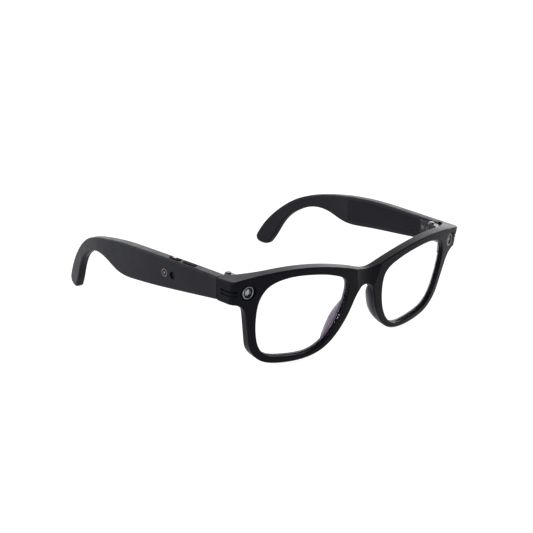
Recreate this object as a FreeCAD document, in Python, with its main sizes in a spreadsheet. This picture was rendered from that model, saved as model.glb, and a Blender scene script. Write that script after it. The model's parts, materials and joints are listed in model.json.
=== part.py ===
import FreeCAD, Part
import Sketcher
import math
import os
import re

from FreeCAD import Placement, Rotation, Vector

# Smart glasses: a full-rim front with a camera and a light, and two folding temples that hold
# the electronics. +Z is up, -Y is the way the wearer looks, -X is the wearer's right.
# The glasses stand on the rims and the temple tips, as on a table with the temples open.

SIZES = {
    # the front, in its own upright frame: origin at the top of the bridge on the front face
    "front_tilt": 8.57, "front_rise": 39.3, "front_y": -82.5, "front_radius": 303.0, "rim_depth": 4.6,
    "corner_x": 74.0, "corner_round": 2.3, "seam_depth": 18.55,
    "seam_y": -63.95, "seam_x": 75.15, "endpiece_inner_x": 70.0, "seam_edge": 0.35,
    "blank_front": 4.0, "blank_rear": 26.0, "edge_round": 0.55, "rim_edge_round": 0.4,
    "rim_top_z": -7.6, "bevel_start": 2.1, "bevel_x": 68.3,
    "lens_front": 1.3, "lens_thickness": 1.8, "lens_bevel": 0.6,
    "scoop_centre_y": -18.8, "scoop_top_radius": 20.8, "scoop_low_radius": 19.4, "scoop_top_z": 3.0,
    "scoop_height": 14.0,
    "groove_width": 1.0, "groove_depth": 0.6, "groove_high_z": 41.25, "groove_low_z": 39.5,
    "groove_rear_gap": 2.4, "groove_front_x": 71.6,
    # brow channel
    "channel_height": 1.7, "channel_depth": 1.7, "cover_thickness": 0.7, "flex_height": 1.3,
    "flex_thickness": 0.25, "flex_depth": 3.2, "channel_end_x": 62.0,
    # camera and light modules
    "module_x": 66.5, "module_z": -0.2, "camera_turn": 0.0, "light_turn": 15.0, "dish_turn": 12.7,
    "camera_dish_r": 3.75, "camera_dish_depth": 0.9, "camera_bore_r": 3.0, "camera_bore_depth": 5.1,
    "bezel_outer_r": 2.94, "bezel_inner_r": 2.45, "bezel_front": 0.1, "bezel_height": 1.2,
    "window_height": 0.6, "window_front": 0.55, "eye_r": 1.7, "barrel_rear": 3.9, "board_height": 0.7,
    "light_dish_r": 3.75, "light_bore_r": 3.5, "light_ring_inner_r": 2.2, "light_cup_inner_r": 1.05,
    # hinges
    "hinge_x": 67.3, "hinge_y": -61.7, "knuckle_r": 1.8, "screw_r": 0.7, "screw_fit": 0.04,
    "hinge_low_z": 37.6, "knuckle_height": 2.1, "hinge_height": 7.9, "knuckle_gap": 0.1,
    "screw_head_r": 1.4, "screw_head_height": 0.8, "leaf_thickness": 1.1,
    # temples
    "shell_wall": 1.2, "temple_round": 1.1, "cover_wall": 1.1, "cover_gap": 0.05,
    # keys on the right temple
    "key_width": 2.3, "front_key_length": 8.5, "rear_key_length": 7.4, "front_key_y": -42.6,
    "rear_key_y": -32.7, "key_top_z": 46.35, "key_stem_z": 42.95, "key_gap": 0.15, "key_inset": 2.75,
}

doc = FreeCAD.newDocument("smart_glasses")
sheet = doc.addObject("Spreadsheet::Sheet", "sizes")
for row, (alias, number) in enumerate(SIZES.items(), start=1):
    sheet.set("A%d" % row, alias)
    sheet.set("B%d" % row, str(number))
    sheet.setAlias("B%d" % row, alias)
doc.recompute()

TILT = math.radians(SIZES["front_tilt"])
FRONT_PLACE = Placement(Vector(0, SIZES["front_y"], SIZES["front_rise"]),
                        Rotation(Vector(1, 0, 0), SIZES["front_tilt"]))
SIDES = {"left": 1, "right": -1}


def value(text):
    """The number that a sum of aliases and plain numbers, such as "seam_y+0.2", comes to."""
    total = 0.0
    for term in text.replace("-", "+-").split("+"):
        word = term.strip().lstrip("-")
        if word:
            number = SIZES[word] if word in SIZES else float(word)
            total += -number if term.strip().startswith("-") else number
    return total


def bound(text):
    """The same sum as an expression on the sheet."""
    return re.sub(r"[a-z][a-z_]*", r"sizes.\g<0>", text)


def bind(thing, prop, text):
    thing.setExpression(prop, bound(text))


def mirrored(points):
    """Half an outline, from the middle outwards, made whole across x = 0."""
    return [(-x, z) for x, z in reversed(points) if x > 0] + list(points)


# ---------------------------------------------------------------- drawing and building helpers

PLANES = {
    "XY": Rotation(),
    "XZ": Rotation(Vector(1, 0, 0), 90),
    "YZ": Rotation(Vector(1, 1, 1), 120),
}


def line(start, end):
    return Part.LineSegment(Vector(*start, 0), Vector(*end, 0))


def arc(start, middle, end):
    return Part.Arc(Vector(*start, 0), Vector(*middle, 0), Vector(*end, 0))


def spline(points, closed=False):
    curve = Part.BSplineCurve()
    curve.interpolate([Vector(x, y, 0) for x, y in points], PeriodicFlag=closed)
    return curve


def drawing(name, plane, curves, offset=Vector()):
    """A sketch on a plane through `offset`, holding the given curves."""
    result = doc.addObject("Sketcher::SketchObject", name + "_sketch")
    result.Placement = Placement(offset, PLANES[plane])
    for curve in curves:
        result.addGeometry(curve, False)
    return result


def extruded(name, base, direction, forward, backward="0"):
    """A sketch made solid along a direction, by lengths taken from the sheet."""
    result = doc.addObject("Part::Extrusion", name)
    result.Base = base
    result.DirMode = "Custom"
    result.Dir = direction
    result.Solid = True
    bind(result, "LengthFwd", forward)
    bind(result, "LengthRev", backward)
    return result


def boolean(kind, name, *shapes):
    result = doc.addObject("Part::" + kind, name)
    if kind == "Cut":
        result.Base, result.Tool = shapes
    else:
        result.Shapes = list(shapes)
    return result


def cut(name, base, *tools):
    tool = tools[0] if len(tools) == 1 else boolean("MultiFuse", name + "_tools", *tools)
    return boolean("Cut", name, base, tool)


def common(name, *shapes):
    return boolean("MultiCommon", name, *shapes)


def block(name, size, corner, turn=0.0):
    """A box from its three lengths and its lowest corner, each a sum of aliases, turned about +Z."""
    result = doc.addObject("Part::Box", name)
    for prop, text in zip(("Length", "Width", "Height"), size):
        bind(result, prop, text)
    result.Placement = Placement(Vector(*(value(text) for text in corner)), Rotation(Vector(0, 0, 1), turn))
    for axis, text in zip("xyz", corner):
        bind(result, "Placement.Base." + axis, text)
    return result


def cylinder(name, radius, height, place):
    result = doc.addObject("Part::Cylinder", name)
    bind(result, "Radius", radius)
    bind(result, "Height", height)
    result.Placement = place
    return result


def rounded(name, base, radius, wanted):
    """The base with a fillet on each edge that the test `wanted` picks."""
    doc.recompute()
    size = value(radius)
    edges = [(i, size, size) for i, edge in enumerate(base.Shape.Edges, start=1) if wanted(edge)]
    if not edges:
        raise RuntimeError("%s: no edge to round" % name)
    result = doc.addObject("Part::Fillet", name)
    result.Base = base
    result.Edges = edges
    doc.recompute()
    if result.Shape.isNull() or not result.Shape.isValid():
        raise RuntimeError("%s: the rounding failed on %d edges" % (name, len(edges)))
    return result


def along(edge, test, count=5):
    """Whether every sample point of an edge passes a test."""
    return all(test(point) for point in edge.discretize(count))


def grouped(name, *pieces):
    """Solids kept as they are, held together as one object."""
    result = doc.addObject("Part::Compound", name)
    result.Links = list(pieces)
    return result


nodes = {}


def node(label, thing, place=None):
    """Names a finished sub-part, and puts it in its place."""
    thing.Label = label
    if place is not None:
        thing.Placement = place
    nodes[label] = thing
    return thing


# ---------------------------------------------------------------- the front

HALF_TOP = [(0, 0), (8.3, 1.9), (17.7, 4.5), (29.9, 6.9), (45, 8.1), (60.7, 7.4), (74, 5.3), (79, 4.4)]
HALF_LOW = [(0, -8), (2.6, -8.5), (5.4, -11.9), (7.9, -18.6), (12.4, -27.7), (21.7, -37.0), (34.2, -40.0),
            (46.7, -39.3), (56.0, -36.6), (61.6, -31.0), (64.2, -22.5), (65.9, -14.2), (67.6, -8.9),
            (70.3, -6.3), (74, -5.5), (79, -4.9)]
LENS_EDGE = [(12.8, -4.1), (14.9, -1.9), (19.7, 0.4), (27.6, 2.6), (35.6, 3.8), (43.4, 4.3), (50.3, 3.6),
             (56.9, 0.8), (60.1, -4.1), (61.1, -11.7), (60.0, -22.8), (56.2, -31.5), (51.7, -34.6),
             (44.6, -36.3), (36.5, -37.2), (30.1, -37.0), (23.8, -34.6), (18.8, -30.0), (14.4, -22.0),
             (12.1, -13.0), (11.8, -7.6)]
LENS_EDGE_STEPS = 48


def front_y_at(x, depth=0.0):
    """How far back the front face lies at x, or a face parallel to it, `depth` behind."""
    radius = SIZES["front_radius"]
    return radius - math.sqrt((radius - depth) ** 2 - x * x)


def front_outline(name, y):
    """The front's outline at one depth. Its ends turn level with the temples behind the front face."""
    def levelled(points):
        result = []
        for x, z in points:
            step = min(max((abs(x) - 54.0) / 18.0, 0.0), 1.0)
            share = step * step * (3 - 2 * step)
            result.append((x, z - share * math.tan(TILT) * (y - front_y_at(x))))
        return result
    top = levelled(mirrored(HALF_TOP))
    low = levelled(mirrored(HALF_LOW))
    curves = [spline(top), line(top[-1], low[-1]), spline(low), line(low[0], top[0])]
    return drawing(name, "XZ", curves, Vector(0, y, 0))


def plan_slab(name, near, far, half, height=("60", "60")):
    """The space between two faces parallel to the front face, out to x = half on both sides."""
    ends = [(x, front_y_at(x, depth)) for depth in (near, far) for x in (-half, half)]
    curves = [arc(ends[0], (0, near), ends[1]), line(ends[1], ends[3]), arc(ends[3], (0, far), ends[2]),
              line(ends[2], ends[0])]
    return extruded(name, drawing(name, "XY", curves), Vector(0, 0, 1), *height)


side_slope = (SIZES["seam_x"] - SIZES["corner_x"]) / (SIZES["seam_depth"] - front_y_at(SIZES["corner_x"]))


def corner_arc():
    """Three points on the round corner between the front face and an endpiece's side, seen from above."""
    x = SIZES["corner_x"]
    turn = SIZES["corner_round"]
    return [(x - turn, front_y_at(x - turn)), (x - 0.28 * turn, front_y_at(x) + 0.12 * turn),
            (x + side_slope * turn, front_y_at(x) + turn)]


def front_plan():
    """The front from above: bowed face, round corners, and endpieces that run back to the hinges."""
    x = SIZES["corner_x"]
    turn = SIZES["corner_round"]
    back = SIZES["blank_rear"]
    inner = SIZES["endpiece_inner_x"]
    rear_x = 57.0
    rim = SIZES["rim_depth"]
    curves = [arc((-x + turn, front_y_at(x - turn)), (0, 0), (x - turn, front_y_at(x - turn)))]
    for side in (1, -1):
        corner = corner_arc()
        outer = (x + side_slope * (back - front_y_at(x)), back)
        wall = [(inner, back), (inner, 17.4), (65.8, 14.0), (rear_x, front_y_at(rear_x, rim))]
        flip = [[(side * px, py) for px, py in group] for group in (corner, [outer], wall)]
        curves += [arc(*flip[0]), line(flip[0][2], flip[1][0]), line(flip[1][0], flip[2][0]),
                   line(flip[2][0], flip[2][1]), arc(*flip[2][1:])]
    curves.append(arc((-rear_x, front_y_at(rear_x, rim)), (0, rim), (rear_x, front_y_at(rear_x, rim))))
    return drawing("front_plan", "XY", curves)


def lens_opening(name, side, grow=0.0):
    """The lens edge on one side, made larger all round by `grow`."""
    shape = spline([(side * x, z) for x, z in LENS_EDGE], closed=True)
    if grow:
        first, last = shape.FirstParameter, shape.LastParameter
        points = []
        for step in range(LENS_EDGE_STEPS):
            spot = first + (last - first) * step / LENS_EDGE_STEPS
            at, way = shape.value(spot), shape.tangent(spot)[0]
            points.append((at.x - side * way.y * grow, at.y + side * way.x * grow))
        shape = spline(points, closed=True)
    return extruded(name, drawing(name, "XZ", [shape]), Vector(0, 1, 0), "blank_rear", "blank_front")


def in_front_frame(place):
    """A placement given in the standing frame, as seen from the front's own tilted frame."""
    return FRONT_PLACE.inverse().multiply(place)


def module_place(side, turn, level=True):
    """On the front face at a module's centre, +Z running back: level when worn, or square to the face."""
    x = SIZES["module_x"]
    spot = Vector(side * x, front_y_at(x), SIZES["module_z"])
    turned = Rotation(Vector(0, 0, 1), side * SIZES[turn]).multiply(Rotation(Vector(1, 0, 0), -90))
    if level:
        turned = FRONT_PLACE.Rotation.inverted().multiply(turned)
    return Placement(spot, turned)


def on_face(depth):
    def test(point):
        return abs(point.y - front_y_at(point.x, depth)) < 0.03
    return lambda edge: along(edge, test)


blank = doc.addObject("Part::Loft", "front_blank")
blank.Sections = [front_outline("outline_ahead", -SIZES["blank_front"]),
                  front_outline("outline_behind", SIZES["blank_rear"])]
blank.Solid = True
blank.Ruled = True
plan = extruded("front_plan_solid", front_plan(), Vector(0, 0, 1), "60", "60")
solid_front = common("front_solid", blank, plan)
openings = [lens_opening("opening_" + name, side) for name, side in SIDES.items()]
scoop = doc.addObject("Part::Cone", "bridge_scoop")
bind(scoop, "Radius1", "scoop_low_radius")
bind(scoop, "Radius2", "scoop_top_radius")
bind(scoop, "Height", "scoop_height")
scoop.Placement.Base = Vector(0, SIZES["scoop_centre_y"], SIZES["scoop_top_z"] - SIZES["scoop_height"])
behind_rims = plan_slab("behind_rims", SIZES["rim_depth"], SIZES["blank_rear"], 76, ("rim_top_z", "60"))


def rim_bevel(name, side):
    """Takes the rear corner off the outer side of a rim, on a slant that follows the side down."""
    x, near, rim = SIZES["bevel_x"], SIZES["bevel_start"], SIZES["rim_depth"]
    corners = [(x, front_y_at(x, near)), (x - 2.3, front_y_at(x - 2.3, rim) + 0.1), (x - 2.3, 30), (x + 9, 30),
               (x + 9, front_y_at(x, near))]
    corners = [(side * px, py) for px, py in corners]
    curves = [line(a, b) for a, b in zip(corners, corners[1:] + corners[:1])]
    sketch = drawing(name, "XY", curves, Vector(0, 0, SIZES["rim_top_z"]))
    return extruded(name, sketch, Vector(-side * 0.215, 0, -0.977), "50")


bevels = [rim_bevel("rim_bevel_" + name, side) for name, side in SIDES.items()]
opened = cut("front_opened", solid_front, behind_rims, *bevels, *openings)
rounded_front = rounded("front_rounded", opened, "edge_round", on_face(0))
on_rear, step_z = on_face(SIZES["rim_depth"]), SIZES["rim_top_z"]
rounded_front = rounded("front_rims", rounded_front, "rim_edge_round", lambda edge: on_rear(edge)
                        and not along(edge, lambda point: abs(point.z - step_z) < 0.03))

# lenses sit in a groove of their own shape, behind the front edge of each opening
slab_lens = [plan_slab("lens_slab_" + name, SIZES["lens_front"],
                       SIZES["lens_front"] + SIZES["lens_thickness"], 70) for name in SIDES]
lenses = {}
for (name, side), slab in zip(SIDES.items(), slab_lens):
    edge = lens_opening("lens_edge_" + name, side, SIZES["lens_bevel"])
    lenses[name] = common("lens_solid_" + name, edge, slab)

# a thin cable runs across the brow in a channel, under a cover flush with the back of the front
BROW = [(0, -3.9), (8, -1.9), (14, 0.9), (20, 2.9), (30, 5.3), (45, 6.3), (56, 5.1), (62, 3.7)]


def brow_band(name, half_height, near, far, end_x):
    """A strip that follows the brow, between two depths behind the front face."""
    points = [(x, z) for x, z in BROW if x < end_x] + [(end_x, BROW[-1][1] + (BROW[-1][0] - end_x) * 0.22)]
    upper = [(x, z + half_height) for x, z in mirrored(points)]
    lower = [(x, z - half_height) for x, z in mirrored(points)]
    curves = [spline(upper), line(upper[-1], lower[-1]), spline(lower), line(lower[0], upper[0])]
    solid = extruded(name + "_band", drawing(name, "XZ", curves), Vector(0, 1, 0), "blank_rear", "blank_front")
    return common(name, solid, plan_slab(name + "_slab", near, far, 70))


rim = SIZES["rim_depth"]
wall = SIZES["cover_thickness"]
end_x = SIZES["channel_end_x"]
half_channel = SIZES["channel_height"] / 2
channel = brow_band("brow_channel", half_channel, rim - SIZES["channel_depth"], rim + 0.6, end_x)
cover = brow_band("brow_cover_solid", half_channel, rim - wall, rim - 0.02, end_x)
flex = brow_band("brow_flex_solid", SIZES["flex_height"] / 2, SIZES["flex_depth"],
                 SIZES["flex_depth"] + SIZES["flex_thickness"], end_x - 0.4)


def turned(name, outline, place):
    """A body turned about its own Z axis from an outline of (radius, height) corners on the sheet."""
    body = doc.addObject("PartDesign::Body", name)
    plane = next(f for f in body.Origin.OriginFeatures if f.Role == "XZ_Plane")
    profile = body.newObject("Sketcher::SketchObject", name + "_profile")
    profile.AttachmentSupport = [(plane, "")]
    profile.MapMode = "FlatFace"
    corners_on(profile, outline)
    feature = body.newObject("PartDesign::Revolution", name + "_turn")
    feature.Profile = profile
    feature.ReferenceAxis = (profile, ["V_Axis"])
    feature.Angle = 360
    body.Placement = place
    return body


def corners_on(profile, outline):
    """Joins corners with lines, each corner held to the sheet by its two distances."""
    spots = [(value(across), value(up)) for across, up in outline]
    for start, end in zip(spots, spots[1:] + spots[:1]):
        profile.addGeometry(line(start, end), False)
    last = len(spots) - 1
    for i in range(len(spots)):
        profile.addConstraint(Sketcher.Constraint("Coincident", i - 1 if i else last, 2, i, 1))
    for i, texts in enumerate(outline):
        for kind, axis, number, text in zip(("DistanceX", "DistanceY"), (-2, -1), spots[i], texts):
            if abs(number) < 1e-9:
                profile.addConstraint(Sketcher.Constraint("PointOnObject", i, 1, axis))
            else:
                which = profile.addConstraint(Sketcher.Constraint(kind, -1, 1, i, 1, number))
                bind(profile, "Constraints[%d]" % which, text)


def disc_outline(radius, low, high):
    return [("0", low), (radius, low), (radius, high), ("0", high)]


def ring_outline(inner, outer, low, high):
    return [(inner, low), (outer, low), (outer, high), (inner, high)]


# camera, on the wearer's right, and capture light, on the wearer's left
camera_at = module_place(-1, "camera_turn")
light_at = module_place(1, "light_turn")
camera_dish = turned("camera_dish", [
    ("0", "-1.5"), ("camera_dish_r+0.4", "-1.5"), ("camera_dish_r", "0"),
    ("camera_dish_r-0.15", "camera_dish_depth"), ("0", "camera_dish_depth")], module_place(-1, "dish_turn", False))
camera_bore = turned("camera_bore", disc_outline("camera_bore_r", "-1", "camera_bore_depth"), camera_at)
light_pocket = turned("light_pocket", [
    ("0", "-1.5"), ("light_dish_r+1", "-1.5"), ("light_dish_r", "0"), ("light_bore_r", "0.3"),
    ("light_bore_r", "camera_bore_depth-0.1"), ("0", "camera_bore_depth-0.1")], light_at)

def groove(name, side, height):
    """A groove along the side of an endpiece and round its corner onto the front face."""
    x = SIZES["corner_x"]
    deep = SIZES["groove_depth"]
    stop = SIZES["seam_depth"] - SIZES["groove_rear_gap"]
    start_x = SIZES["groove_front_x"]
    outside = [(start_x, front_y_at(start_x) - 3), (x + 3, front_y_at(start_x) - 3), (x + 3, stop)]
    rear = (x + side_slope * (stop - front_y_at(x)) - deep, stop)
    corner = [(px - inward * deep, py + back * deep)
              for (px, py), inward, back in zip(corner_arc(), (0.0, 0.7, 1.0), (1.0, 0.7, 0.0))]
    front_end = (start_x, front_y_at(start_x) + deep)
    outside, corner, (rear, front_end) = ([(side * px, py) for px, py in group]
                                          for group in (outside, corner, (rear, front_end)))
    path = [front_end] + outside + [rear, corner[2]]
    curves = [line(a, b) for a, b in zip(path, path[1:])] + [arc(*corner), line(corner[0], front_end)]
    sketch = drawing(name, "XY", curves)
    result = extruded(name, sketch, Vector(0, 0, 1), "groove_width")
    # level in the standing frame
    lift = Placement(Vector(0, 0, height - SIZES["groove_width"] / 2), Rotation())
    flat = Placement(Vector(0, SIZES["front_y"], 0), Rotation())
    result.Placement = in_front_frame(lift.multiply(flat))
    return result


grooves = [groove("groove_%s_%s" % (name, level), side, SIZES["groove_%s_z" % level])
           for name, side in SIDES.items() for level in ("high", "low")]


def pad_body(name, outline, thickness, place):
    """A plate or block: an outline of corners in the body's own XY plane, raised along its Z."""
    body = doc.addObject("PartDesign::Body", name)
    plane = next(f for f in body.Origin.OriginFeatures if f.Role == "XY_Plane")
    profile = body.newObject("Sketcher::SketchObject", name + "_profile")
    profile.AttachmentSupport = [(plane, "")]
    profile.MapMode = "FlatFace"
    corners_on(profile, outline)
    feature = body.newObject("PartDesign::Pad", name + "_pad")
    feature.Profile = profile
    bind(feature, "Length", thickness)
    body.Placement = place
    return body


# ---------------------------------------------------------------- camera and light parts

MODULES = {
    "camera_bezel": (-1, [("bezel_inner_r", "window_front-0.15"), ("bezel_inner_r+0.1", "bezel_front"),
                          ("bezel_outer_r-0.15", "bezel_front"), ("bezel_outer_r", "bezel_front+0.15"),
                          ("bezel_outer_r", "bezel_front+bezel_height"),
                          ("bezel_inner_r", "bezel_front+bezel_height")]),
    "camera_window": (-1, disc_outline("bezel_inner_r", "window_front", "window_front+window_height")),
    "camera_barrel": (-1, ring_outline("eye_r", "bezel_outer_r", "bezel_front+bezel_height+0.1",
                                       "barrel_rear")),
    "camera_eye": (-1, [("0", "1.2"), ("eye_r-0.6", "1.3"), ("eye_r", "1.6"), ("eye_r", "3.2"),
                        ("0", "3.2")]),
    "camera_sensor_board": (-1, disc_outline("bezel_outer_r", "camera_bore_depth-board_height",
                                             "camera_bore_depth-0.02")),
    "light_bezel": (1, [("light_ring_inner_r", "0.55"), ("light_ring_inner_r+0.15", "0.3"),
                        ("light_bore_r-0.3", "0.1"), ("light_bore_r-0.04", "0.45"), ("light_bore_r-0.04", "1.3"),
                        ("light_ring_inner_r", "1.3")]),
    "light_guide": (1, ring_outline("light_cup_inner_r", "light_ring_inner_r-0.02", "0.75", "1.7")),
    "light_emitter": (1, [("0", "0.5"), ("0.7", "0.6"), ("light_cup_inner_r-0.02", "0.9"),
                          ("light_cup_inner_r-0.02", "2.6"), ("0", "2.6")]),
    "light_board": (1, disc_outline("light_bore_r-0.04", "camera_bore_depth-1", "camera_bore_depth-0.12")),
}
for label, (side, outline) in MODULES.items():
    node(label, turned(label + "_body", outline, camera_at if side < 0 else light_at), FRONT_PLACE.multiply(
        camera_at if side < 0 else light_at))


# ---------------------------------------------------------------- nose pads

# depth behind the front face, rim edge and half width of the pad, from its top down
PAD_RINGS = [(-11.5, 5.2, 6.7, 0.7), (-13.5, 6.3, 7.1, 1.5), (-18.0, 7.9, 8.9, 2.1), (-23.0, 9.0, 11.3, 2.3),
             (-28.0, 8.8, 14.0, 2.3), (-32.0, 7.6, 17.2, 2.0), (-34.8, 6.3, 19.8, 1.3)]


def nose_pad(name, side):
    """A moulded pad behind the inner rim: oval slices, deepest two thirds of the way down."""
    rings = []
    for i, (z, depth, x, half) in enumerate(PAD_RINGS):
        front = SIZES["rim_depth"] - 2.0
        middle = (front + depth) / 2
        reach = (depth - front) / 2
        oval = []
        for step in range(10):
            turn = 2 * math.pi * step / 10
            y = middle - reach * math.cos(turn)
            lean = 0.3 * (y - SIZES["rim_depth"])
            oval.append((side * (x + lean + half * math.sin(turn)), y))
        rings.append(drawing("%s_ring_%d" % (name, i), "XY", [spline(oval, closed=True)], Vector(0, 0, z)))
    loft = doc.addObject("Part::Loft", name + "_loft")
    loft.Sections = rings
    loft.Solid = True
    return cut(name + "_solid", loft, rounded_front)


for name, side in SIDES.items():
    node("nose_pad_" + name, nose_pad("nose_pad_" + name, side), FRONT_PLACE)
    node("lens_" + name, grouped("lens_placed_" + name, lenses[name]), FRONT_PLACE)
node("brow_cover", cover, FRONT_PLACE)
node("brow_flex_cable", flex, FRONT_PLACE)


# ---------------------------------------------------------------- hinges

def negated(text):
    return "".join({"+": "-", "-": "+"}.get(mark, mark) for mark in ("+" + text if text[0] != "-" else text))


def side_block(name, side, size, corner):
    """A box given for the wearer's left, or its mirror image for the right."""
    if side < 0:
        corner = (negated(corner[0]) + negated(size[0]), corner[1], corner[2])
    return block(name, size, corner)


def upright(name, side, radius, height, x, y, z):
    """A vertical cylinder on one side."""
    place = Placement(Vector(side * value(x), value(y), value(z)), Rotation())
    return cylinder(name, radius, height, place)


def hinge(name, side):
    """Both leaves and the screw of one hinge, around an upright axis."""
    axis = ("hinge_x", "hinge_y")
    tag = "hinge_" + name
    bore = upright(tag + "_bore", side, "screw_r+screw_fit", "30", *axis, "hinge_low_z-10")
    # the leaf on the front: two knuckles on arms from a plate let into the endpiece
    column = upright(tag + "_column", side, "knuckle_r", "hinge_height", *axis, "hinge_low_z")
    arm = side_block(tag + "_arm", side, ("2+knuckle_r-0.1", "5.2", "hinge_height"),
                     ("hinge_x-2", "hinge_y-5.2", "hinge_low_z"))
    plate = side_block(tag + "_plate", side, ("5.6", "leaf_thickness", "hinge_height"),
                       ("hinge_x-3.4", "hinge_y-6.2", "hinge_low_z"))
    slot = side_block(tag + "_slot", side, ("8", "knuckle_r+knuckle_r+0.6",
                                            "hinge_height-knuckle_height-knuckle_height"),
                      ("hinge_x-4", "hinge_y-knuckle_r-0.3", "hinge_low_z+knuckle_height"))
    front_leaf = cut(tag + "_front_leaf", boolean("MultiFuse", tag + "_front_fused", column, arm, plate),
                     slot, bore)
    # the leaf on the temple: one knuckle between them, and a plate let into the temple
    barrel = upright(tag + "_barrel", side, "knuckle_r",
                     "hinge_height-knuckle_height-knuckle_height-knuckle_gap-knuckle_gap",
                     *axis, "hinge_low_z+knuckle_height+knuckle_gap")
    neck = side_block(tag + "_neck", side, ("2.3", "3.4", "hinge_height-knuckle_height-knuckle_height"
                                            "-knuckle_gap-knuckle_gap"),
                      ("hinge_x+0.6", "hinge_y", "hinge_low_z+knuckle_height+knuckle_gap"))
    wing = side_block(tag + "_wing", side, ("leaf_thickness", "7.5", "hinge_height-1.0"),
                      ("hinge_x+2.3", "hinge_y+2.2", "hinge_low_z+0.5"))
    temple_leaf = cut(tag + "_temple_leaf", boolean("MultiFuse", tag + "_temple_fused", barrel, neck, wing),
                      bore)
    screw = turned(tag + "_screw", [
        ("0", "0"), ("screw_r", "0"), ("screw_r", "hinge_height"), ("screw_head_r", "hinge_height"),
        ("screw_head_r", "hinge_height+screw_head_height-0.3"),
        ("screw_head_r-0.3", "hinge_height+screw_head_height"), ("0", "hinge_height+screw_head_height")],
        Placement(Vector(side * SIZES["hinge_x"], SIZES["hinge_y"], SIZES["hinge_low_z"]), Rotation()))
    slot_cut = side_block(tag + "_driver_slot", side, ("4", "0.4", "0.6"),
                          ("hinge_x-2", "hinge_y-0.2", "hinge_low_z+hinge_height+screw_head_height-0.4"))
    return front_leaf, temple_leaf, cut(tag + "_slotted_screw", screw, slot_cut)


hinges = {name: hinge(name, side) for name, side in SIDES.items()}
for name in SIDES:
    node("front_hinge_leaf_" + name, hinges[name][0])


node("hinge_screws", grouped("hinge_screw_pair", hinges["left"][2], hinges["right"][2]))


def flat_screw(name, head, length, place):
    """A small countersunk screw, its head's face at the origin and its shank along +Z."""
    shank = head + "-0.4"
    outline = [("0", "0"), (head, "0"), (head, "0.25"), (shank, "0.65"), (shank, length), ("0", length)]
    return turned(name, outline, place)


# ---------------------------------------------------------------- the front, finished

front = cut("front_detailed", rounded_front, lenses["left"], lenses["right"], channel, camera_dish,
            camera_bore, light_pocket, scoop, *grooves)
front.Placement = FRONT_PLACE
seam = block("seam_tool", ("200", "60", "120"), ("-100", "seam_y", "-40"))
leaf_room = [side_block("leaf_room_" + name, side, ("6.0", "8", "hinge_height"),
                        ("hinge_x-3.4", "hinge_y-6.2", "hinge_low_z")) for name, side in SIDES.items()]
parted = cut("front_parted", front, seam)


def on_seam_outside(edge):
    """An edge of an endpiece's rear end, other than the one beside the hinge."""
    beside_hinge = SIZES["endpiece_inner_x"] + 0.2
    return along(edge, lambda point: abs(point.y - SIZES["seam_y"]) < 0.02) \
        and abs(edge.discretize(3)[1].x) > beside_hinge


parted = rounded("front_seam_edges", parted, "seam_edge", on_seam_outside)
node("front_frame", cut("front_frame_solid", parted, *leaf_room))


# ---------------------------------------------------------------- temples

# the outer face seen from above: distance back, distance out, wall thickness there
SPLAY = [(-72, 74.5, 5.5), (-63.9, 75.15, 5.5), (-50, 76.35, 5.5), (-34, 77.95, 5.5), (-20, 79.3, 5.5),
         (-6, 79.95, 5.5), (8, 79.9, 5.4), (24, 79.3, 5.1), (40, 77.6, 4.7), (54, 75.1, 4.5), (66, 72.7, 4.5),
         (78, 70.2, 4.7), (88, 68.2, 4.8)]
TEMPLE_TOP = [(-63.75, 46.0), (-50, 46.0), (-36, 45.95), (-22, 45.8), (-8, 45.4), (5, 44.5), (16, 43.2),
              (28, 41.2), (38, 38.9), (47, 35.9), (55, 31.9), (62, 27.1), (68.5, 21.6), (74.5, 15.2),
              (79, 9.0), (81.6, 4.6)]
TEMPLE_LOW = [(70.6, 2.2), (66.8, 7.6), (62.4, 15.0), (56.6, 22.0), (49, 27.3), (40, 31.0), (31.5, 32.1),
              (22, 30.8), (13, 28.3), (6, 27.7), (-6, 28.7), (-26, 30.9), (-45, 33.1), (-63.75, 35.5)]
TIP = [(81.6, 4.6), (80.2, 0.9), (76.6, 0.0), (72.9, 0.3), (70.6, 2.2)]
# the inner cover's outline seen from the side, and how far the cavity stays inside it
COVER = [(-51, 35.6), (-51, 44.4), (-8, 43.9), (8, 42.6), (8, 30.0)]
CAVITY_MARGIN = 0.9
BEYOND_TEMPLE = "95"


def wall_curve(side, inset, from_inside=False):
    """The temple seen from above: a line `inset` in from its outer face, or out from its inner face."""
    points = [(side * (out - (thick - inset if from_inside else inset)), back) for back, out, thick in SPLAY]
    return spline(points)


def out_at(back, inset=0.0):
    """The outer face's distance from the middle at a distance back, less an inset."""
    for (back_a, out_a, _), (back_b, out_b, _) in zip(SPLAY, SPLAY[1:]):
        if back_a <= back <= back_b:
            return out_a + (out_b - out_a) * (back - back_a) / (back_b - back_a) - inset
    raise ValueError("outside the temple")


def splay_turn(back):
    """The angle that the outer face is turned outwards at a distance back."""
    return math.degrees(math.atan2(out_at(back + 3) - out_at(back - 3), 6))


def wall_slab(name, outer, inner):
    """The space between two lines of the temple seen from above."""
    first, last = outer.value(outer.FirstParameter), outer.value(outer.LastParameter)
    near, far = inner.value(inner.FirstParameter), inner.value(inner.LastParameter)
    ends = [Part.LineSegment(last, far), Part.LineSegment(near, first)]
    return extruded(name, drawing(name, "XY", [outer, ends[0], inner, ends[1]]), Vector(0, 0, 1), "70", "20")


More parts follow.
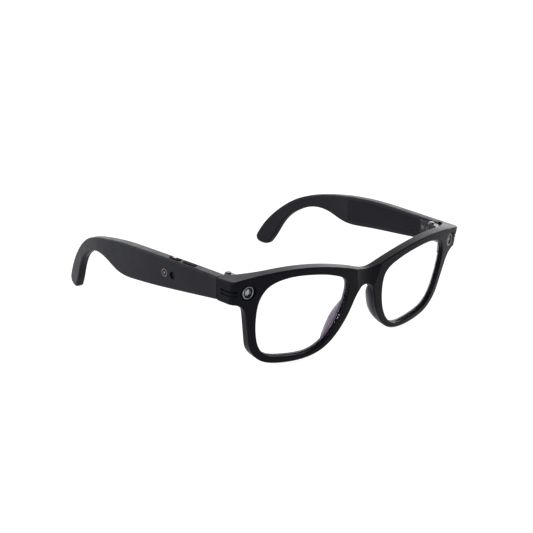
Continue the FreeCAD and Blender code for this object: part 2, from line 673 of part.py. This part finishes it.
def rounded_corners(points, radius):
    """A polygon's lines, joined by arcs of one radius."""
    corners = []
    for before, at, after in zip(points[-1:] + points[:-1], points, points[1:] + points[:1]):
        at_v = Vector(*at, 0)
        back = (Vector(*before, 0) - at_v).normalize()
        on = (Vector(*after, 0) - at_v).normalize()
        half = back.getAngle(on) / 2
        reach = radius / math.tan(half)
        middle = at_v + (back + on).normalize() * (radius / math.sin(half) - radius)
        corners.append((at_v + back * reach, middle, at_v + on * reach))
    curves = []
    for corner, following in zip(corners, corners[1:] + corners[:1]):
        curves.append(Part.Arc(*corner))
        curves.append(Part.LineSegment(corner[2], following[0]))
    return curves


def panel(name, side, points, radius, outer, inner):
    """A side-view polygon with round corners, kept between two lines of the temple from above."""
    face = drawing(name, "YZ", rounded_corners(points, radius))
    solid = extruded(name + "_prism", face, Vector(side, 0, 0), BEYOND_TEMPLE)
    return common(name, solid, wall_slab(name + "_walls", outer, inner))


def grown(points, size):
    """A convex polygon moved outwards by `size`, or inwards where that is negative."""
    centre = Vector(sum(p[0] for p in points) / len(points), sum(p[1] for p in points) / len(points), 0)
    lines = []
    for a, b in zip(points, points[1:] + points[:1]):
        run = (Vector(*b, 0) - Vector(*a, 0)).normalize()
        out = Vector(run.y, -run.x, 0)
        if out.dot(Vector(*a, 0) - centre) < 0:
            out = out * -1
        lines.append((Vector(*a, 0) + out * size, run))
    result = []
    for (spot, run), (other, way) in zip(lines[-1:] + lines[:-1], lines):
        share = ((other - spot).cross(way)).z / (run.cross(way)).z
        corner = spot + run * share
        result.append((corner.x, corner.y))
    return result


def temple_blank(name, side):
    top, low = spline(TEMPLE_TOP), spline(TEMPLE_LOW)
    curves = [top, spline(TIP), low, line(TEMPLE_LOW[-1], TEMPLE_TOP[0])]
    profile = extruded(name + "_profile", drawing(name, "YZ", curves), Vector(side, 0, 0), BEYOND_TEMPLE)
    walls = wall_slab(name + "_walls", wall_curve(side, 0), wall_curve(side, 0, True))
    solid = common(name + "_raw", profile, walls)

    def long_edge(edge):
        return not along(edge, lambda point: point.y < SIZES["seam_y"] + 0.3) and edge.Length > 6
    front_end = TEMPLE_TOP[0][0] + 0.02
    soft = rounded(name + "_rounded", solid, "temple_round", long_edge)
    return rounded(name + "_ended", soft, "seam_edge",
                   lambda edge: along(edge, lambda point: point.y < front_end))


def at_temple(side, back, height, inset, across=0.0):
    """On the temple at an inset from its outer face, with +Z outwards and +X along the temple."""
    turn = splay_turn(back)
    heading = Rotation(Vector(0, 0, 1), -side * turn)
    local = Rotation(Vector(0, 1, 0), Vector(0, 0, side), Vector(side, 0, 0), "XYZ")
    on_outside = Placement(Vector(side * out_at(back), back, height), heading.multiply(local))
    return on_outside.multiply(Placement(Vector(across, 0, -inset), Rotation()))


def slab_at(name, side, back, height, inset, length, tall, thick):
    """A rectangular piece lying along the temple, centred there; its inner face lies at the inset."""
    outline = [("-" + length, "-" + tall), (length, "-" + tall), (length, tall), ("-" + length, tall)]
    return pad_body(name, outline, thick, at_temple(side, back, height, inset))


blanks = {name: temple_blank("temple_" + name, side) for name, side in SIDES.items()}


def slot_solid(name, run, radius, height, place):
    """An upright prism with round ends along its own Y; `run` is between the ends' centres."""
    bar = doc.addObject("Part::Box", name + "_bar")
    bind(bar, "Length", radius + "+" + radius)
    bind(bar, "Width", run)
    bind(bar, "Height", height)
    radius_mm, run_mm = value(radius), value(run)
    bar.Placement = place.multiply(Placement(Vector(-radius_mm, -run_mm / 2, 0), Rotation()))
    ends = [cylinder("%s_end_%d" % (name, i), radius, height,
                     place.multiply(Placement(Vector(0, way * run_mm / 2, 0), Rotation())))
            for i, way in enumerate((-1, 1))]
    return boolean("MultiFuse", name, bar, *ends)


def upright_on_temple(side, back, inset, z):
    """Upright in the middle of the temple's thickness, turned with the temple."""
    heading = Rotation(Vector(0, 0, 1), -side * splay_turn(back))
    return Placement(Vector(side * out_at(back, inset), back, z), heading)


# keys in the right temple's top edge, each held under the top wall by its flange
RIGHT = SIDES["right"]
KEYS = {"shutter_button": ("front_key_y", "front_key_length"),
        "power_button": ("rear_key_y", "rear_key_length")}
key_wells = []
key_solids = {}
for label, (back, length) in KEYS.items():
    spot = upright_on_temple(RIGHT, value(back), SIZES["key_inset"], SIZES["key_stem_z"])
    below = upright_on_temple(RIGHT, value(back), SIZES["key_inset"], SIZES["key_stem_z"] - 0.6)
    half = SIZES["key_width"] / 2
    run = SIZES[length] - SIZES["key_width"]
    rise = SIZES["key_top_z"] - SIZES["key_stem_z"]
    stem = slot_solid(label + "_stem", "%.3f" % run, "%.3f" % half, "%.3f" % rise, spot)
    flange = slot_solid(label + "_flange", "%.3f" % run, "%.3f" % (half + 0.3), "0.6", below)
    whole = boolean("MultiFuse", label + "_whole", stem, flange)
    top = SIZES["key_top_z"] - 0.01
    key_solids[label] = rounded(label + "_rounded", whole, "key_gap+0.1",
                                lambda edge: along(edge, lambda point: point.z > top))
    key_wells.append(slot_solid(label + "_well", "%.3f" % run, "%.3f" % (half + SIZES["key_gap"]), "6",
                                upright_on_temple(RIGHT, value(back), SIZES["key_inset"], 42.0)))
indicator_spot = upright_on_temple(RIGHT, SIZES["rear_key_y"] + 0.9, SIZES["key_inset"] + 0.35,
                                   SIZES["key_top_z"] - 0.5)
indicator = slot_solid("indicator_solid", "1.8", "0.45", "0.5", indicator_spot)
node("power_indicator", indicator)
node("shutter_button", key_solids["shutter_button"])
node("power_button", cut("power_button_seated", key_solids["power_button"], indicator))

# shells, covers and what they hold; places are (distance back, height)
WINDOW_AT = (-33.9, 38.7)
CHARGING_AT = (-20, 37.6)
TOUCH_STRIP = [(-31, 36.5), (-31, 41.0), (-13, 41.0), (-13, 36.5)]
CONTACT_STEPS = (-3.2, 3.2)
VENT_BACK = -2.0
VENT_INSET = 2.75
GRILLE_STEPS = (-2.6, -1.3, 0.0, 1.3, 2.6)
MICROPHONE_BACK = -45.4
LEAF_SCREW_STEPS = (4.3, 7.9)
HINGE_MIDDLE_Z = 41.1

for name, side in SIDES.items():
    cavity = panel("cavity_" + name, side, grown(COVER, -CAVITY_MARGIN), 1.2,
                   wall_curve(side, SIZES["shell_wall"]), wall_curve(side, -2, True))
    seat = panel("cover_seat_" + name, side, grown(COVER, SIZES["cover_gap"]), 1.6,
                 wall_curve(side, SIZES["cover_wall"], True), wall_curve(side, -2, True))
    lid = panel("cover_" + name, side, COVER, 1.55,
                wall_curve(side, SIZES["cover_wall"], True), wall_curve(side, 0.02, True))
    temple_leaf = hinges[name][1]
    screws = [flat_screw("leaf_screw_%s_%d" % (name, i), "1.1", "3.6",
                         Placement(Vector(side * (SIZES["hinge_x"] + 2.3), SIZES["hinge_y"] + back,
                                          HINGE_MIDDLE_Z),
                                   Rotation(Vector(0, 1, 0), side * 90)))
              for i, back in enumerate(LEAF_SCREW_STEPS)]
    screw_group = grouped("leaf_screws_" + name, *screws)
    node("temple_leaf_screws_" + name, screw_group)
    node("temple_hinge_leaf_" + name, cut("temple_leaf_drilled_" + name, temple_leaf, screw_group))
    vent = slot_solid("vent_" + name, "5.4", "0.8", "6", upright_on_temple(side, VENT_BACK, VENT_INSET, 26.0))
    tools = [cavity, seat, temple_leaf, screw_group, vent]
    cover_tools = []
    speaker = slab_at("speaker_solid_" + name, side, -0.9, 36.8, 3.9, "6.2", "4.4", "2.4")
    node("speaker_" + name, speaker)
    grille = slot_solid("grille_solid_" + name, "5.4", "0.77", "0.6",
                        upright_on_temple(side, VENT_BACK, VENT_INSET, 29.2))
    holes = [slot_solid("grille_hole_%s_%d" % (name, i), "0.6", "0.25", "2",
                        upright_on_temple(side, VENT_BACK, VENT_INSET, 28.6).multiply(
                            Placement(Vector(0, step, 0), Rotation())))
             for i, step in enumerate(GRILLE_STEPS)]
    node("speaker_grille_" + name, cut("grille_" + name, grille, *holes))
    if side == RIGHT:
        window = cylinder("window_solid", "1.75", "0.5", at_temple(side, *WINDOW_AT, 1.15))
        window_hole = cylinder("window_hole", "1.8", "4", at_temple(side, *WINDOW_AT, 1.3))
        tools += [window_hole, *key_wells]
        node("status_window", window)
        plate = slab_at("charging_plate_solid", side, *CHARGING_AT, 5.62, "5.5", "2.3", "0.7")
        contacts = [cylinder("contact_%d" % i, "0.85", "0.6", at_temple(side, *CHARGING_AT, 5.57, step))
                    for i, step in enumerate(CONTACT_STEPS)]
        contact_holes = [cylinder("contact_hole_%d" % i, "0.88", "2", at_temple(side, *CHARGING_AT, 6.5, step))
                         for i, step in enumerate(CONTACT_STEPS)]
        node("charging_plate", cut("charging_plate_drilled", plate, *contact_holes))
        node("charging_contacts", grouped("contact_pair", *contacts))
        cover_tools.append(slab_at("charging_plate_room", side, *CHARGING_AT, 6.5, "5.53", "2.33", "1.62"))
        node("main_board", slab_at("main_board_solid", side, -40, 38.7, 2.2, "8.4", "1.9", "0.8"))
        node("main_processor", slab_at("processor_solid", side, -40, 38.6, 3.15, "3.0", "1.7", "0.9"))
        node("battery_right", slab_at("battery_solid_right", side, -19, 39.2, 4.25, "9.6", "3.3", "2.3"))
        node("touch_sensor", panel("touch_strip", side, TOUCH_STRIP, 1.0,
                                   wall_curve(side, SIZES["shell_wall"] + 0.01),
                                   wall_curve(side, SIZES["shell_wall"] + 0.14)))
        strip = slab_at("switch_strip", side, -37.7, 41.2, 3.9, "8.2", "0.2", "2.3")
        domes = [cylinder("dome_" + label, "1.0", "0.5",
                          upright_on_temple(side, value(back), SIZES["key_inset"], 41.4))
                 for label, (back, _) in KEYS.items()]
        node("key_switches", boolean("MultiFuse", "key_switch_board", strip, *domes))
    else:
        cover_tools.append(cylinder("sound_hole", "0.4", "3", at_temple(side, MICROPHONE_BACK, 36.9, 6.5)))
        node("microphone", slab_at("microphone_solid", side, MICROPHONE_BACK, 37.6, 4.3, "1.7", "1.3", "1.0"))
        node("microphone_board",
             slab_at("microphone_board_solid", side, MICROPHONE_BACK, 38.9, 3.2, "2.8", "2.4", "0.7"))
        node("battery_left", slab_at("battery_solid_left", side, -25.5, 39.3, 4.2, "14.5", "3.1", "2.2"))
    node("temple_shell_" + name, cut("temple_shell_solid_" + name, blanks[name], *tools))
    node("temple_cover_" + name, cut("temple_cover_cut_" + name, lid, *cover_tools) if cover_tools else lid)


# ---------------------------------------------------------------- checks and files

doc.recompute()
failed = [thing.Name for thing in doc.Objects if {"Invalid", "Error"} & set(thing.State)]
if failed:
    raise RuntimeError("failed objects: " + ", ".join(failed))
os.makedirs("parts", exist_ok=True)
for label, thing in nodes.items():
    shape = thing.Shape
    if shape.isNull() or not shape.isValid() or not shape.Solids:
        raise RuntimeError("no valid solid in " + label)
    shape.exportStep("parts/%s.step" % label)
    print("%-28s solids %d volume %9.2f" % (label, len(shape.Solids), shape.Volume))
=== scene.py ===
import json
import math

import bmesh
import bpy
from mathutils import Matrix, Vector


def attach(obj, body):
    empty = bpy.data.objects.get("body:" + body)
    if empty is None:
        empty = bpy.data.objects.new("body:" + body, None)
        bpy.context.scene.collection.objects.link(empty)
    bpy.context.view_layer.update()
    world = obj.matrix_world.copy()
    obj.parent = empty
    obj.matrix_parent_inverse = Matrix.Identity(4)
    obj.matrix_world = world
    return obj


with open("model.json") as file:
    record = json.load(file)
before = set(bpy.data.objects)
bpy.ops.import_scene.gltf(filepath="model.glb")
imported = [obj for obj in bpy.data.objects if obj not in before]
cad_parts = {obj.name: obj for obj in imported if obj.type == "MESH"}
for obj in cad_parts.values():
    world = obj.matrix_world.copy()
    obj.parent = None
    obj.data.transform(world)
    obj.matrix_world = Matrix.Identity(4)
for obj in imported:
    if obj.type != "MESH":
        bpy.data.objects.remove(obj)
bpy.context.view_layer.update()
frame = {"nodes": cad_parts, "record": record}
NODES = frame["nodes"]
MM = 0.001

# ---------------------------------------------------------------- camera

CAMERA_PLACE = Vector((-0.2918, -0.3551, 0.1754))
CAMERA_HEADING = -40.0
CAMERA_DROP = 18.9
CAMERA_ROLL = 1.3
CAMERA_LENS = 60.65
CLIP_START = 0.01


def make_camera():
    data = bpy.data.cameras.new("camera")
    data.lens = CAMERA_LENS
    data.clip_start = CLIP_START
    camera = bpy.data.objects.new("camera", data)
    turn = Matrix.Rotation(math.radians(CAMERA_HEADING), 4, "Z")
    tip = Matrix.Rotation(math.radians(90 - CAMERA_DROP), 4, "X")
    roll = Matrix.Rotation(math.radians(CAMERA_ROLL), 4, "Z")
    camera.matrix_world = Matrix.Translation(CAMERA_PLACE) @ turn @ tip @ roll
    bpy.context.scene.collection.objects.link(camera)
    bpy.context.scene.camera = camera


# ---------------------------------------------------------------- material helpers


class Graph:
    """A short way to build one material's nodes."""

    def __init__(self, name):
        self.material = bpy.data.materials.new(name)
        self.material.use_nodes = True
        self.tree = self.material.node_tree
        self.shader = self.tree.nodes["Principled BSDF"]
        self.spot = self.add("ShaderNodeTexCoord").outputs["Object"]

    def add(self, kind, **settings):
        made = self.tree.nodes.new(kind)
        for key, number in settings.items():
            if hasattr(made, key):
                setattr(made, key, number)
            else:
                made.inputs[key.replace("_", " ")].default_value = number
        return made

    def link(self, source, target):
        self.tree.links.new(source, target)

    def set(self, **sockets):
        for key, number in sockets.items():
            self.shader.inputs[key.replace("_", " ")].default_value = number

    def noise(self, scale, detail=2.0, rough=0.5, stretch=None):
        texture = self.add("ShaderNodeTexNoise", Scale=scale, Detail=detail, Roughness=rough)
        if stretch:
            mapping = self.add("ShaderNodeMapping")
            mapping.inputs["Scale"].default_value = stretch
            self.link(self.spot, mapping.inputs["Vector"])
            self.link(mapping.outputs["Vector"], texture.inputs["Vector"])
        else:
            self.link(self.spot, texture.inputs["Vector"])
        return texture.outputs["Fac"]

    def span(self, source, low, high, start=0.0, end=1.0):
        ramp = self.add("ShaderNodeMapRange")
        ramp.inputs["From Min"].default_value = start
        ramp.inputs["From Max"].default_value = end
        ramp.inputs["To Min"].default_value = low
        ramp.inputs["To Max"].default_value = high
        self.link(source, ramp.inputs["Value"])
        return ramp.outputs["Result"]

    def blend(self, source, first, second):
        mix = self.add("ShaderNodeMix", data_type="RGBA")
        colour = [s for s in mix.inputs if s.type == "RGBA"]
        colour[0].default_value = (*first, 1)
        colour[1].default_value = (*second, 1)
        self.link(source, mix.inputs["Factor"])
        return [s for s in mix.outputs if s.type == "RGBA"][0]

    def colour(self, source):
        self.link(source, self.shader.inputs["Base Color"])

    def roughness(self, source):
        self.link(source, self.shader.inputs["Roughness"])

    def bump(self, source, strength, depth):
        made = self.add("ShaderNodeBump", Strength=strength, Distance=depth)
        self.link(source, made.inputs["Height"])
        self.link(made.outputs["Normal"], self.shader.inputs["Normal"])


WHITE = (1.0, 1.0, 1.0)
COOL = (0.88, 0.9, 1.0)
CLOUD_SCALE = 60.0
GLOSS_SCALE = 180.0
FINE_GRAIN = 2600.0
COARSE_GRAIN = 900.0
BOARD_GRAIN = 700.0
GRAIN_STRENGTH = 0.35
GRAIN_DEPTH = 0.00002
STREAK_SCALE = 4.0
STREAK_STRENGTH = 0.25
STREAK_DEPTH = 0.00001
LONG_STREAKS = (40, 40, 900)
CROSS_STREAKS = (300, 40, 40)
POLISH_SCALE = 90.0
TINT_SCALE = 25.0
LENS_IOR = 1.74
LENS_SHEEN = (0.86, 0.6, 1.0, 1)
GLASS_IOR = 1.45
POLISH_SPREAD = 0.004


def moulded(name, dark, light, rough, shine=0.5, tint=WHITE, grain=FINE_GRAIN):
    """Moulded plastic: faint clouding in the colour, a fine satin grain, and slightly uneven gloss."""
    graph = Graph(name)
    clouds = graph.noise(CLOUD_SCALE, 4.0)
    graph.colour(graph.blend(graph.span(clouds, 0, 1, 0.35, 0.65), dark, light))
    gloss = graph.noise(GLOSS_SCALE, 3.0)
    graph.roughness(graph.span(gloss, rough - 0.04, rough + 0.05, 0.3, 0.7))
    graph.bump(graph.noise(grain, 2.0), GRAIN_STRENGTH, GRAIN_DEPTH)
    graph.set(Specular_IOR_Level=shine, Specular_Tint=(*tint, 1))
    return graph.material


def metal(name, dark, light, rough, stretch=LONG_STREAKS):
    """Turned or brushed metal: fine streaks in tone, gloss and relief."""
    graph = Graph(name)
    streaks = graph.noise(STREAK_SCALE, 5.0, 0.65, stretch)
    graph.colour(graph.blend(graph.span(streaks, 0, 1, 0.3, 0.7), dark, light))
    graph.roughness(graph.span(streaks, rough - 0.07, rough + 0.09, 0.3, 0.7))
    graph.bump(streaks, STREAK_STRENGTH, STREAK_DEPTH)
    graph.set(Metallic=1.0)
    return graph.material


def clear(name, tint, ior):
    """Clear glass or plastic with a barely uneven polish."""
    graph = Graph(name)
    graph.roughness(graph.span(graph.noise(POLISH_SCALE), 0.0, POLISH_SPREAD, 0.3, 0.7))
    paler = tuple(min(1.0, channel * 1.01) for channel in tint)
    graph.colour(graph.blend(graph.noise(TINT_SCALE), tint, paler))
    graph.set(Transmission_Weight=1.0, IOR=ior)
    return graph


def make_materials():
    made = {
        "frame_black": moulded("frame_black", (0.0018, 0.002, 0.0042),
                               (0.0028, 0.003, 0.0056), 0.38, 0.075, COOL),
        "temple_black": moulded("temple_black", (0.0125, 0.0127, 0.0164),
                                (0.015, 0.0152, 0.0194), 0.42, 0.05, COOL),
        "cover_black": moulded("cover_black", (0.0076, 0.0078, 0.0106),
                               (0.0094, 0.0096, 0.0128), 0.42, 0.05, COOL),
        "pad_black": moulded("pad_black", (0.0095, 0.0095, 0.0135),
                             (0.0135, 0.0135, 0.0175), 0.34, 0.4, COOL),
        "hinge_metal": metal("hinge_metal", (0.012, 0.012, 0.014), (0.06, 0.06, 0.066), 0.34),
        "screw_steel": metal("screw_steel", (0.06, 0.06, 0.066), (0.16, 0.16, 0.17), 0.26),
        "bezel_silver": metal("bezel_silver", (0.36, 0.36, 0.38), (0.6, 0.6, 0.63), 0.3),
        "bezel_dark": metal("bezel_dark", (0.05, 0.05, 0.056), (0.12, 0.12, 0.13), 0.3),
        # The eye's pale blue-grey base colour is a painted reflection: it stands in for the light its glass
        # reflects, and its own specular stays low.
        "eye_gloss": moulded("eye_gloss", (0.48, 0.52, 0.62),
                             (0.54, 0.58, 0.68), 0.35, 0.1, grain=COARSE_GRAIN),
        "inner_black": moulded("inner_black", (0.004, 0.004, 0.004), (0.008, 0.008, 0.009), 0.6, 0.2),
        "guide_grey": moulded("guide_grey", (0.05, 0.05, 0.056), (0.085, 0.085, 0.095), 0.24, 0.4),
        "emitter_white": moulded("emitter_white", (0.5, 0.5, 0.53), (0.68, 0.68, 0.72), 0.14),
        "speaker_black": moulded("speaker_black", (0.01, 0.01, 0.01), (0.02, 0.02, 0.021), 0.5),
        "key_black": moulded("key_black", (0.001, 0.001, 0.0014), (0.0016, 0.0016, 0.0022), 0.55, 0.02),
        "indicator_rose": moulded("indicator_rose", (0.42, 0.16, 0.17), (0.58, 0.25, 0.26), 0.3, 0.3),
        "window_dark": moulded("window_dark", (0.0015, 0.0015, 0.002), (0.003, 0.003, 0.0035), 0.2, 0.05),
        "plate_black": moulded("plate_black", (0.004, 0.004, 0.005), (0.007, 0.007, 0.008), 0.2),
        "contact_gold": metal("contact_gold", (0.62, 0.42, 0.14), (0.86, 0.64, 0.28), 0.2),
        "dome_steel": metal("dome_steel", (0.5, 0.5, 0.51), (0.7, 0.7, 0.7), 0.25),
        "grille_steel": metal("grille_steel", (0.04, 0.04, 0.04), (0.09, 0.09, 0.09), 0.4),
        "cell_foil": metal("cell_foil", (0.42, 0.42, 0.43), (0.6, 0.6, 0.61), 0.35, CROSS_STREAKS),
        "board_green": moulded("board_green", (0.008, 0.05, 0.02),
                               (0.015, 0.085, 0.035), 0.3, grain=BOARD_GRAIN),
        "flex_amber": moulded("flex_amber", (0.3, 0.11, 0.015), (0.42, 0.17, 0.03), 0.28),
    }
    lens = clear("lens_clear", (0.98, 0.975, 0.985), LENS_IOR)
    lens.set(Specular_Tint=LENS_SHEEN)
    made["lens_clear"] = lens.material
    made["camera_glass"] = clear("camera_glass", (0.94, 0.95, 0.98), GLASS_IOR).material
    return made


def dress_nodes(made):
    for entry in frame["record"]["subparts"]:
        mesh = NODES[entry["node"]].data
        slot = entry["material_slot"]
        mesh.materials.clear()
        mesh.materials.append(made[slot])
        for face in mesh.polygons:
            face.material_index = 0


# ---------------------------------------------------------------- stage and light

FLOOR_SIZE = 3.0
WALL_HEIGHT = 1.6
WALL_TURN = 0.8
BOWL_STEPS = 10
BOWL_SIDES = 96
FLOOR_GLOW = 0.9
FLOOR_DARK = (0.18, 0.18, 0.18)
FLOOR_LIGHT = (0.2, 0.2, 0.2)
WORLD_REACH = 0.6
WORLD_DIM = 0.25
WORLD_BRIGHT = 1.0


def circle_points(sides):
    """The cosine and sine of each corner of a regular polygon."""
    turns = [2 * math.pi * k / sides for k in range(sides)]
    return [(math.cos(turn), math.sin(turn)) for turn in turns]


def bowl_outline():
    """From the middle of the floor outwards: flat, then a round turn, then a wall."""
    flat = FLOOR_SIZE - WALL_TURN
    points = [(flat, 0.0)]
    for step in range(1, BOWL_STEPS + 1):
        turn = math.radians(90 * step / BOWL_STEPS)
        points.append((flat + WALL_TURN * math.sin(turn), WALL_TURN * (1 - math.cos(turn))))
    points.append((FLOOR_SIZE, WALL_HEIGHT))
    return points


def make_bowl():
    """A plain pale floor that turns up into a wall all round, lit evenly enough to have no horizon."""
    mesh = bmesh.new()
    rings = [[mesh.verts.new((radius * x, radius * y, height)) for x, y in circle_points(BOWL_SIDES)]
             for radius, height in bowl_outline()]
    mesh.faces.new(rings[0])
    for low, high in zip(rings, rings[1:]):
        for k in range(BOWL_SIDES):
            after = (k + 1) % BOWL_SIDES
            mesh.faces.new((low[k], low[after], high[after], high[k]))
    data = bpy.data.meshes.new("floor")
    mesh.to_mesh(data)
    mesh.free()
    floor = bpy.data.objects.new("floor", data)
    bpy.context.scene.collection.objects.link(floor)
    graph = Graph("floor_white")
    graph.colour(graph.blend(graph.noise(3.0), FLOOR_DARK, FLOOR_LIGHT))
    graph.set(Roughness=0.9, Specular_IOR_Level=0.1)
    graph.set(Emission_Color=(1, 1, 1, 1), Emission_Strength=FLOOR_GLOW)
    data.materials.append(graph.material)
    floor.visible_diffuse = False


def area_light(name, place, aim, size, radiance):
    """A soft rectangular lamp, its power worked out from the brightness of its face."""
    data = bpy.data.lights.new(name, "AREA")
    data.shape = "RECTANGLE"
    data.size, data.size_y = size
    data.energy = radiance * math.pi * size[0] * size[1]
    lamp = bpy.data.objects.new(name, data)
    lamp.location = place
    lamp.rotation_euler = (Vector(aim) - Vector(place)).to_track_quat("-Z", "Y").to_euler()
    bpy.context.scene.collection.objects.link(lamp)


def make_world():
    """Light from all round and above, brightest from behind the glasses."""
    world = bpy.data.worlds.new("studio")
    bpy.context.scene.world = world
    world.use_nodes = True
    tree = world.node_tree
    back = tree.nodes["Background"]
    spot = tree.nodes.new("ShaderNodeTexCoord")
    split = tree.nodes.new("ShaderNodeSeparateXYZ")
    tree.links.new(spot.outputs["Generated"], split.inputs["Vector"])
    ramp = tree.nodes.new("ShaderNodeMapRange")
    ramp.inputs["From Min"].default_value = -WORLD_REACH
    ramp.inputs["From Max"].default_value = WORLD_REACH
    ramp.inputs["To Min"].default_value = WORLD_DIM
    ramp.inputs["To Max"].default_value = WORLD_BRIGHT
    tree.links.new(split.outputs["Y"], ramp.inputs["Value"])
    tree.links.new(ramp.outputs["Result"], back.inputs["Color"])
    back.inputs["Strength"].default_value = 1.0


def make_lights():
    area_light("softbox_top", (0.1, 0.3, 1.2), (0, 0, 0), (1.0, 1.0), 1.0)
    area_light("softbox_rear_right", (0.9, 1.35, 0.75), (0, 0, 0.02), (2.2, 1.2), 2.7)
    area_light("softbox_right", (1.3, 0.15, 0.2), (0, -0.05, 0.03), (0.9, 0.5), 9.0)
    area_light("softbox_left_rear", (-0.6, 0.55, 0.35), (-0.07, 0, 0.03), (0.4, 0.4), 7.0)
    area_light("softbox_low_left", (-0.95, -0.2, 0.2), (0, -0.07, 0.02), (0.6, 0.4), 6.0)


# ---------------------------------------------------------------- printed mark

MARK_BACK = -28.3
MARK_HEIGHT = 38.7
MARK_RADIUS = 1.9
MARK_LINE = 0.35
DOT_RADIUS = 0.6
MARK_SIDES = 48
DOT_SIDES = 32
RING_PROUD = 0.03
BESIDE_TEMPLE = -0.12


def temple_surface(back, height):
    """A point on the right temple's outer face, in metres."""
    shell = NODES["temple_shell_right"]
    start = Vector((BESIDE_TEMPLE, back * MM, height * MM))
    into = shell.matrix_world.inverted()
    inward = (into.to_3x3() @ Vector((1, 0, 0))).normalized()
    hit, spot, normal, _ = shell.ray_cast(into @ start, inward)
    assert hit
    return shell.matrix_world @ spot, (shell.matrix_world.to_3x3() @ normal).normalized()


def flat_ring(name, middle, out, inner, outer, around, material, body):
    """A thin flat ring, or a disc where `inner` is 0, that lies on a face and moves with its body."""
    along = out.orthogonal().normalized()
    up = out.cross(along).normalized()
    mesh = bmesh.new()
    levels = []
    for lift in (-RING_PROUD, RING_PROUD):
        for radius in (inner, outer):
            corners = circle_points(around) if radius else []
            levels.append([mesh.verts.new(middle + (along * x * radius + up * y * radius + out * lift) * MM)
                           for x, y in corners])
    low_in, low_out, top_in, top_out = levels
    for k in range(around):
        after = (k + 1) % around
        mesh.faces.new((low_out[k], low_out[after], top_out[after], top_out[k]))
        if inner:
            mesh.faces.new((low_in[after], low_in[k], top_in[k], top_in[after]))
            mesh.faces.new((top_out[k], top_out[after], top_in[after], top_in[k]))
            mesh.faces.new((low_in[k], low_in[after], low_out[after], low_out[k]))
    if not inner:
        mesh.faces.new(top_out)
        mesh.faces.new(list(reversed(low_out)))
    bmesh.ops.recalc_face_normals(mesh, faces=mesh.faces)
    data = bpy.data.meshes.new(name)
    mesh.to_mesh(data)
    mesh.free()
    piece = bpy.data.objects.new(name, data)
    bpy.context.scene.collection.objects.link(piece)
    data.materials.append(material)
    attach(piece, body)


def make_mark():
    """The generic printed mark on the right temple: a ring round a dot."""
    grey = moulded("mark_grey", (0.07, 0.07, 0.075), (0.11, 0.11, 0.115), 0.4, 0.3)
    middle, out = temple_surface(MARK_BACK, MARK_HEIGHT)
    flat_ring("touch_mark_ring", middle, out, MARK_RADIUS - MARK_LINE, MARK_RADIUS, MARK_SIDES,
              grey, "temple_right")
    flat_ring("touch_mark_dot", middle, out, 0.0, DOT_RADIUS, DOT_SIDES, grey, "temple_right")


# ---------------------------------------------------------------- black print and painted shade round the camera

AHEAD = Vector((0, -1, 0))
EYE_OPENING = 1.5
PRINT_EDGE = 2.43
LIP_EDGE = 2.66
BEZEL_EDGE = 2.88
CAMERA_RING_SIDES = 64


def front_middle(node):
    """The middle of a round node's front face, in metres; the node faces straight ahead."""
    corners = [NODES[node].matrix_world @ Vector(corner) for corner in NODES[node].bound_box]
    across = sum(corner.x for corner in corners) / len(corners)
    up = sum(corner.z for corner in corners) / len(corners)
    return Vector((across, min(corner.y for corner in corners), up))


def make_camera_print():
    """A black printed border on the camera's window, and a black ring of painted shade on the outer edge of
    its silver ring, standing in for the shadow in the recess round the bezel.
    """
    ink_and_shade = moulded("camera_ink_and_shade", (0.0012, 0.0012, 0.0016), (0.0022, 0.0022, 0.0028), 0.4, 0.1)
    flat_ring("camera_window_print", front_middle("camera_window"), AHEAD, EYE_OPENING, PRINT_EDGE,
              CAMERA_RING_SIDES, ink_and_shade, "front")
    # The bezel ring is painted shade: flat black standing in for the shadow of the recess round the silver
    # ring.
    flat_ring("camera_bezel_painted_shade", front_middle("camera_bezel"), AHEAD, LIP_EDGE, BEZEL_EDGE,
              CAMERA_RING_SIDES, ink_and_shade, "front")


make_camera()
dress_nodes(make_materials())
make_mark()
make_camera_print()
make_bowl()
make_world()
make_lights()
bpy.context.scene.view_settings.view_transform = "Standard"
